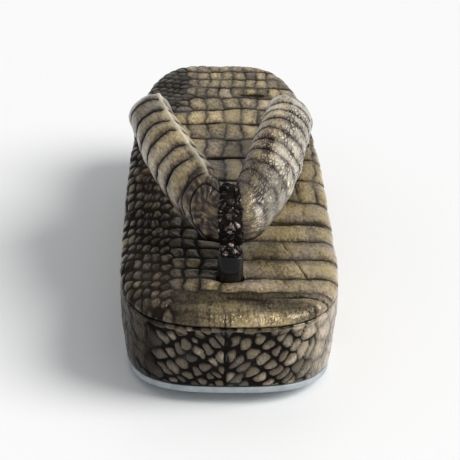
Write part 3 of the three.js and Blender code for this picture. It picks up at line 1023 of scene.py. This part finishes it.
class MakeFootbed(bpy.types.Operator):
    """Makes the cushioned footbed in belly leather, dipped where strap and thong pass through"""

    bl_idname = "zori.make_footbed"
    bl_label = "Footbed"

    # Rows of the grid over the top, round the rim and underneath
    COLUMNS, ROWS = 840, (58, 20, 5)
    ROLLED_SHARE = 0.86
    TUCK = 0.6

    def execute(self, context):
        look, sole, strap = measures(context)

        def place(u, v):
            to_rim, bend, under = runs(v, self.ROWS)
            tucked = rising(bend, self.ROLLED_SHARE, 1 - self.ROLLED_SHARE)
            rim_down, rim_in = quarter_round(1 - clamp(bend / self.ROLLED_SHARE), 1)
            inset = np.where(bend > self.ROLLED_SHARE, self.TUCK * tucked**2, sole.rim_run * rim_in)
            flat = sole.ring(u, inset, np.maximum(1 - to_rim, under))
            high = sole.footbed_top(flat[:, 1]) - sole.rim_rise * rim_down
            low = sole.top(flat[:, 1]) + sole.GAP
            side = high + (low - high) * tucked
            return np.column_stack([flat, np.where(under > 0, low, side)])

        piece = bent_grid("footbed_cushion", self.COLUMNS, sum(self.ROWS), place)
        points = read(piece, "co")
        height_share = rising(points[:, 2] - sole.top(points[:, 1]), 0.6, 1.2)
        flat = points[:, :2]
        x, y = flat.T
        uneven = wander(wander(flat, 30, 0.5, 3), 7, 0.3, 5)
        found = belly_scales().field(uneven)
        found["line"] = np.maximum(found["line"], near_lines(uneven, BELLY_LINES))
        lift = skin_height(look, found)

        # A painted highlight on the front rim's right corner, painted glints along the rim, a paler streak
        # at the toe, and painted shade where the strap's shade falls
        corner = bell(x, 35, 9) * bell(y, -105, 5)
        streak = bell(x, -4, 15) * bell(y, -112, 4)
        edge = rising(y, -113, -6) * rising(x, -24, 26)
        glint = bell(x, 20, 16) * rising(y, -112, -4)
        found["light"] += 0.5 * corner + 0.25 * streak + 0.25 * edge + 0.5 * glint
        found["gold"] += 0.5 * corner + 0.3 * streak + 0.3 * edge
        found["light"] *= 1 - 0.75 * bell(x, 0, 17) * bell(y, -66, 11)

        # Fine folds that gather at the toe
        front = smooth(rising(y, -96, -12))
        ray = drift(np.column_stack([2.2 * x, 0.3 * y]), 3.2, 10)
        ring = drift(np.column_stack([0.3 * x, 2.2 * (y - 0.006 * x**2)]), 5, 12)
        found["line"] = np.maximum(found["line"], 0.45 * front * clamp(np.maximum(ray, ring) - 0.4))
        found["crease"] = 0.15 + 0.4 * front + 0.25 * rising(y, 60, 30)
        keep_skin(piece, found)
        lift += front * (0.08 * ray + 0.06 * ring)
        lift += 0.2 * drift(flat, 22, 7) + 0.09 * drift(flat, 6, 8) + 0.04 * drift(flat, 2.6, 9)

        # Dents round the three holes
        skirt = np.linspace(0, 1, 64, endpoint=False)
        hole_t = strap.at_arc(np.array([strap.arc[0] + 9, strap.arc[-1] - 9]))
        holes = [strap.surface(np.full(64, t), skirt, HOLE_CLEARANCE)[:, :2] for t in hole_t]
        lift -= 1.5 * bell(away_from(flat, np.vstack(holes)), 0, 3.2)
        toe_hole = np.array([(0, strap.thong_y)])
        lift -= 0.9 * bell(np.maximum(away_from(flat, toe_hole), 5), 5, 2.5)
        raise_skin(piece, lift * smooth(height_share))
        cut_holes(piece, strap, sole.GAP + strap.sleeve_wall + HOLE_CLEARANCE)
        material = scaled_leather(
            "Belly leather", look, bright=look.gold, dull=look.olive, pebble=560.0, stain=look.brown,
            mottle=0.75, stretch=(1.0, 0.55, 1.0), width=0.34, even=0.25,
        )
        finish_piece(piece, material, replaces="footbed")
        return {"FINISHED"}


class MakePlatform(bpy.types.Operator):
    """Makes the wrapped wedge, with its front seam and the scales of its wall"""

    bl_idname = "zori.make_platform"
    bl_label = "Platform"

    # Rows of the grid over the lid, the upper edge, the wall, the lower edge and the base
    COLUMNS, ROWS = 880, (5, 3, 56, 3, 5)
    HIGH_EDGE = 0.6
    LOW_EDGE = 1.2
    BULGE = 0.5

    def execute(self, context):
        look, sole, strap = measures(context)

        def place(u, v):
            lid, high, wall, low, base = runs(v, self.ROWS)
            high_in, high_down = quarter_round(high, self.HIGH_EDGE)
            low_up, low_in = quarter_round(low, self.LOW_EDGE)
            inset = high_in + low_in + sole.wall_taper * wall - self.BULGE * np.sin(np.pi * wall)
            flat = sole.ring(u, inset, np.maximum(1 - lid, base))
            top = sole.top(flat[:, 1]) - high_down
            bottom = sole.outsole_top(flat[:, 1]) + sole.GAP + low_up
            return np.column_stack([flat, top + (bottom - top) * wall])

        piece = bent_grid("wrapped_platform", self.COLUMNS, sum(self.ROWS), place)
        _, y, z = read(piece, "co").T
        around = read(piece, "around")
        reach = sole.round * np.where(around > 0.5, around - 1, around)
        laid = np.column_stack([reach, z])
        uneven = wander(wander(laid, 24, 0.7, 13), 6, 0.45, 15)
        found = wall_scales().field(uneven)

        # The seam at the toe, the painted highlight along the wall's upper edge, the fold under the footbed
        # and the painted light and shade round the wall
        seam = bell(reach + 0.12 * drift(laid, 12, 19), SEAM, 0.55)
        under_joint = sole.top(y) - z
        lit_edge = bell(under_joint, 1.2, 0.6) * rising(abs(reach), 75, -20)
        fold = bell(under_joint + 0.5 * drift(laid, 9, 25), 3.2, 0.8) * rising(abs(reach), 32, -4)
        lines = np.maximum(np.maximum(found["line"], seam), near_lines(uneven, WALL_LINES))
        found["line"] = np.maximum(lines * (1 - 0.6 * lit_edge), 0.5 * fold)
        found["border"] += 1.2 * lit_edge
        found["light"] *= np.interp(reach, *np.transpose(WALL_LIGHT))
        found["gold"] += 0.1 * lit_edge
        found["crease"] = 0.2 + 0.15 * rising(reach, 26, 8) + 0.5 * rising(reach, -32, -6)
        keep_skin(piece, found)
        lift = skin_height(look, found) - 0.6 * seam
        lift += 0.2 * drift(laid, 16, 21) + 0.08 * drift(laid, 6, 22)
        below = rising(under_joint, 0.5, 0.8)
        above = rising(z - sole.outsole_top(y), 1.2, 1.6)
        raise_skin(piece, lift * smooth(below) * smooth(above))
        cut_holes(piece, strap, HOLE_CLEARANCE)
        material = scaled_leather(
            "Wall leather", look, bright=look.taupe, dull=look.olive, pebble=560.0,
            mottle=0.55, stretch=(1.0, 1.0, 0.6), width=0.34, even=0.15,
        )
        finish_piece(piece, material, replaces="platform")
        return {"FINISHED"}


class MakeOutsole(bpy.types.Operator):
    """Makes the thin pale outsole with its toe spring"""

    bl_idname = "zori.make_outsole"
    bl_label = "Outsole"

    # Rows of the grid over the lid, the upper edge, the lower edge and the base
    COLUMNS, ROWS = 480, (8, 4, 4, 8)
    HIGH_EDGE = 0.3
    LOW_EDGE = 0.7
    SET_IN = 2.4

    def execute(self, context):
        look, sole, _ = measures(context)

        def place(u, v):
            lid, high, low, base = runs(v, self.ROWS)
            high_in, high_down = quarter_round(high, self.HIGH_EDGE)
            low_up, low_in = quarter_round(low, self.LOW_EDGE)
            inset = self.SET_IN + np.where(low > 0, low_in, high_in)
            flat = sole.ring(u, inset, np.maximum(1 - lid, base))
            upper = sole.outsole_top(flat[:, 1]) - high_down
            lower = sole.floor(flat[:, 1]) + low_up
            return np.column_stack([flat, np.where(low > 0, lower, upper)])

        piece = bent_grid("rubber_outsole", self.COLUMNS, sum(self.ROWS), place)
        darker = tuple(0.72 * c for c in look.rubber)
        material = plain_finish("Pale rubber", look.rubber, darker, roughness=0.5, grain=900.0, bump=0.0001)
        finish_piece(piece, material, replaces="outsole")
        return {"FINISHED"}


class MakeStrap(bpy.types.Operator):
    """Makes the stuffed V strap, with the ring folds at its front and the ridge along one arm"""

    bl_idname = "zori.make_strap"
    bl_label = "Strap"

    AROUND = 108
    ALONG = 620

    def execute(self, context):
        look, sole, strap = measures(context)
        piece = bent_grid(
            "stuffed_strap", self.AROUND, self.ALONG,
            lambda u, v: capped_tube(strap, u, v, 0, ends=1 / self.ALONG),
        )
        points = read(piece, "co")
        along = strap.arc[0] + read(piece, "along") * (strap.arc[-1] - strap.arc[0])
        round_way = read(piece, "around") * GIRTH
        laid = np.column_stack([along, round_way])
        keep_values(piece, laid_x=along * MM, laid_y=round_way * MM)
        curved = laid.copy()
        over = np.sin(np.pi * (round_way - 12) / 36)
        curved[:, 0] -= 4.2 * over * np.sign(along) * rising(abs(along), 16, 14)
        found = strap_scales().field(wander(wander(curved, 22, 0.8, 43), 6, 0.3, 45), period=GIRTH)

        # Rings and spokes round an eye on the -X side of the V
        eye_along, eye_round = -6, 32
        circle = np.hypot(along - eye_along, 0.9 * (round_way - eye_round)) + 0.5 * drift(laid, 9, 47)
        reach = rising(along, -1, -3)
        rings = reach * (0.9 * bell(circle, 9.5, 0.55) + 0.75 * bell(circle, 15.5, 0.55))
        turn = np.arctan2(round_way - eye_round, along - eye_along)
        spoke = np.sin(15 * turn + 1.6 * drift(laid, 7, 49)) * rising(circle, 1.5, 3)
        spokes = reach * rising(circle, 15, -3)

        # The cream ridge along the -X arm, the crackled side of the +X arm, and the painted shade
        # underneath, wider at the V, where it also stands for a dark lining
        ridge = bell(round_way, 21, 1.1) * smooth(rising(along, -12, -8))
        right = smooth(rising(along, 2, 10))
        outer = smooth(rising(round_way, 23, 7)) * right
        rear = rising(points[:, 1], 4, 16)
        under = smooth(rising(abs(round_way - GIRTH / 2), 16 - 5.5 * bell(along, 0, 13), 2.5))

        fade = 1 - 0.75 * outer * rising(along, 78, -15)
        lines = np.maximum(found["line"] * fade, rings)
        lines = np.maximum(lines, 0.55 * spokes * clamp(-spoke - 0.35))
        found["line"] = lines * (1 - 0.92 * ridge)
        lift = skin_height(look, found) + 0.85 * ridge
        lift += 0.25 * drift(points, 18, 51) + 0.14 * drift(points, 8, 53) + 0.05 * drift(points, 3, 55)
        lift += 0.16 * spokes * spoke + 0.3 * bell(circle, 0, 8) * reach * drift(points, 5, 57)
        clear = rising(points[:, 2] - sole.footbed_top(points[:, 1]), 1, 4)
        neck = smooth(rising(abs(along), 5, 3))
        raise_skin(piece, lift * smooth(clear) * np.minimum(1, 0.15 + neck))
        # A painted highlight on the ridge, painted light on the +X arm's outer side, and the spokes' crests
        # painted lighter and their troughs darker, as highlight and shade
        found["gold"] += 0.2 * outer + 0.7 * ridge + 0.3 * spokes * spoke
        found["border"] += 5 * ridge
        found["light"] += 0.1 * outer + 0.3 * ridge
        # Painted shade underneath, and painted light along the +X arm: darker near the V, brighter behind
        found["light"] *= 1 - 0.94 * under
        found["light"] *= 1 + right * np.interp(along, (14, 30, 60, 90), (-0.15, 0, 0.08, 0.12))
        found["tint"] = np.maximum(np.maximum(outer, rear * (0.35 + 0.5 * right)), ridge)
        found["crease"] = 0.35 + 0.6 * np.maximum(outer, right * rising(along, 70, -25))
        found["crease"] *= 1 - ridge
        keep_skin(piece, found)
        material = scaled_leather(
            "Strap leather", look, bright=look.gold, dull=look.umber, pebble=980.0, tinted=look.cream,
            mottle=0.65, stretch=(0.35, 1.0, 1.0), width=0.3, even=0.4, laid=True,
        )
        finish_piece(piece, material, replaces="strap")
        return {"FINISHED"}


class MakeThong(bpy.types.Operator):
    """Makes the dark toe thong, its loop round the strap and its tail, and the black sleeve"""

    bl_idname = "zori.make_thong"
    bl_label = "Toe thong"

    # Width of the loop, by the way round the strap from underneath
    LOOP_TAPER = ((0, 0.74), (0.25, 0.95), (0.5, 1.1), (0.62, 1.06), (0.75, 0.84), (0.88, 0.76), (1, 0.74))
    LONGEST_HALF = 3.5
    OFF_STRAP = 0.3
    SCALE_SIZE = 2.6

    def execute(self, context):
        look, sole, strap = measures(context)
        piece = self.loop(strap, "toe_thong_loop", 0.0, 200, 72)
        tail = tail_bar(strap, "tail", 0.0, 64, 90)
        self.crumple(piece)
        self.crumple(tail)
        combine(piece, tail, "UNION")
        combine(piece, strap_cutter(strap, sole.GAP), "DIFFERENCE")
        material = scaled_leather(
            "Thong leather", look, bright=look.mauve, dull=look.umber, pebble=900.0,
            mottle=0.9, width=0.35, even=0.4,
        )
        finish_piece(piece, material, replaces="toe_thong")
        sleeve = self.sleeve(strap, sole)
        black = plain_finish(
            "Black sleeve", look.sleeve, (0.004, 0.003, 0.003), roughness=0.34, grain=1400.0,
            bump=0.0002, coat=0.25, shine=0.22,
        )
        finish_piece(sleeve, black, replaces="thong_sleeve")
        return {"FINISHED"}

    def loop(self, strap, name, grow, columns, rows):
        """The loop as a flattened ring round the strap's neck."""

        def place(u, v):
            turn = 2 * np.pi * v
            c, s = np.cos(turn), np.sin(turn)
            out, rise = squarish(c, 0.55), squarish(s, 0.75)
            half_thick = strap.thong_thickness / 2 + grow
            shell = self.OFF_STRAP + strap.thong_thickness / 2 + rise * half_thick
            spread = np.maximum(strap.surface(strap.at_arc(np.ones_like(u)), u, 1.0)[:, 0], 0.3)
            half = (strap.thong_width / 2 + grow) * np.interp(u, *np.transpose(self.LOOP_TAPER))
            t = strap.at_arc(out * np.minimum(half / spread, self.LONGEST_HALF + grow))
            base, full = strap.surface(t, u, 0.0), strap.surface(t, u, 1.0)
            return base + (full - base) * shell[:, None]

        return bent_grid(name, columns, rows, place)

    def crumple(self, piece):
        """Small crumpled scales over the thong, placed in space."""
        points = read(piece, "co")
        rng = np.random.default_rng(61)
        low, high = points.min(0) - 2, points.max(0) + 2
        count = int(np.prod(high - low) / self.SCALE_SIZE**3)
        middles = rng.uniform(low, high, (count, 3))
        apart = np.linalg.norm(points[:, None] - middles[None], axis=2)
        order = np.argsort(apart, axis=1)[:, :2]
        first, second = np.take_along_axis(apart, order, 1).T
        border = second - first
        line = bell(border, 0, 0.55)
        shade = rng.uniform(0, 1, count)[order[:, 0]]
        rise = 1 - np.exp(-border / 1.2)
        flop = rising(points[:, 2], high[2] - 9, 5) * rising(points[:, 1], low[1] + 8, 5)
        lumps = 0.5 * flop * (0.6 + drift(points, 4, 63)) + 0.3 * drift(points, 5, 65)
        raise_skin(piece, 0.35 * rise - 0.45 * line + lumps)
        keep_values(
            piece, groove=0.9 * line, rise=rise, gold=0.25 + 0.65 * shade**2,
            light=0.5 + 0.75 * shade**2, tint=np.full(len(rise), 0.5), crease=np.ones(len(rise)),
        )

    def sleeve(self, strap, sole):
        """A smooth collar: an outer and an inner bar, the inner one cut out."""
        floor = sole.footbed_top(strap.thong_y)
        outer = tail_bar(strap, "thong_collar", sole.GAP + strap.sleeve_wall, 96, 40)
        inner = tail_bar(strap, "inner_cutter", sole.GAP, 96, 40)
        bottom = sole.top(strap.thong_y) + sole.GAP
        bm = bmesh.new()
        bm.from_mesh(outer.data)
        for height, below in ((bottom, True), (floor + strap.sleeve_rise, False)):
            geometry = bm.verts[:] + bm.edges[:] + bm.faces[:]
            cut = bmesh.ops.bisect_plane(
                bm, geom=geometry, plane_co=(0, 0, height * MM), plane_no=(0, 0, 1),
                clear_inner=below, clear_outer=not below,
            )
            edges = [e for e in cut["geom_cut"] if isinstance(e, bmesh.types.BMEdge)]
            bmesh.ops.contextual_create(bm, geom=edges)
        bmesh.ops.recalc_face_normals(bm, faces=bm.faces)
        bm.to_mesh(outer.data)
        bm.free()
        combine(outer, inner, "DIFFERENCE")
        combine(outer, self.loop(strap, "loop_cutter", sole.GAP, 120, 40), "DIFFERENCE")
        combine(outer, strap_cutter(strap, sole.GAP), "DIFFERENCE")
        return outer


class SetStage(bpy.types.Operator):
    """Sets the pale floor, the soft light from the side and the camera"""

    bl_idname = "zori.set_stage"
    bl_label = "Stage"

    CAMERA_PLACE = (-0.0283, -0.8718, 0.4553)
    CAMERA_TURN = (63.506, -1.254, -1.393)
    KEY_FROM = (0.86, -0.16, 0.74)
    KEY_ANGLE = 38
    KEY_COLOUR = (1.0, 0.985, 0.96)
    SKY_COLOUR = (0.97, 0.985, 1.0)
    FLOOR_REACH = 6

    def execute(self, context):
        scene = context.scene
        stage = scene.zori.stage
        bm = bmesh.new()
        bmesh.ops.create_grid(bm, x_segments=2, y_segments=2, size=self.FLOOR_REACH)
        mesh = bpy.data.meshes.new("floor")
        bm.to_mesh(mesh)
        bm.free()
        floor = bpy.data.objects.new("floor", mesh)
        scene.collection.objects.link(floor)
        pale = bpy.data.materials.new("Pale floor")
        pale.use_nodes = True
        shader = pale.node_tree.nodes["Principled BSDF"]
        shader.inputs["Base Color"].default_value = rgba(stage.floor)
        shader.inputs["Roughness"].default_value = 0.45
        mesh.materials.append(pale)

        world = bpy.data.worlds.new("Soft sky")
        world.use_nodes = True
        sky = world.node_tree.nodes["Background"]
        sky.inputs["Color"].default_value = rgba(self.SKY_COLOUR)
        sky.inputs["Strength"].default_value = stage.sky
        scene.world = world

        key = bpy.data.lights.new("key", "SUN")
        key.energy = stage.key
        key.angle = math.radians(self.KEY_ANGLE)
        key.color = self.KEY_COLOUR
        lamp = bpy.data.objects.new("key", key)
        lamp.rotation_euler = Vector(self.KEY_FROM).to_track_quat("Z", "Y").to_euler()
        scene.collection.objects.link(lamp)

        lens = bpy.data.cameras.new("camera")
        lens.lens = stage.lens
        lens.sensor_width = 36
        lens.clip_start, lens.clip_end = 0.05, 20
        camera = bpy.data.objects.new("camera", lens)
        camera.location = self.CAMERA_PLACE
        camera.rotation_euler = [math.radians(a) for a in self.CAMERA_TURN]
        scene.collection.objects.link(camera)
        scene.camera = camera
        scene.view_settings.view_transform = "Standard"
        return {"FINISHED"}


class ZoriPanel(bpy.types.Panel):
    """Lists the zori's pieces in the sidebar"""

    bl_idname = "VIEW3D_PT_zori"
    bl_label = "Zori"
    bl_space_type = "VIEW_3D"
    bl_region_type = "UI"
    bl_category = "Zori"

    def draw(self, context):
        settings = context.scene.zori
        for part in PIECES:
            self.layout.operator(part.bl_idname)
        for group in (settings.sole, settings.strap, settings.leather, settings.stage):
            box = self.layout.box()
            for name in group.__annotations__:
                box.prop(group, name)


PIECES = (SetStage, MakeFootbed, MakePlatform, MakeOutsole, MakeStrap, MakeThong)
CLASSES = (SoleSizes, StrapSizes, LeatherLook, StageLook, ZoriSettings, *PIECES, ZoriPanel)


def register():
    for cls in CLASSES:
        bpy.utils.register_class(cls)
    bpy.types.Scene.zori = bpy.props.PointerProperty(type=ZoriSettings)


def unregister():
    del bpy.types.Scene.zori
    for cls in reversed(CLASSES):
        bpy.utils.unregister_class(cls)


def main():
    register()
    bpy.ops.zori.set_stage()
    bpy.ops.zori.make_footbed()
    bpy.ops.zori.make_platform()
    bpy.ops.zori.make_outsole()
    bpy.ops.zori.make_strap()
    bpy.ops.zori.make_thong()


if __name__ == "__main__":
    main()
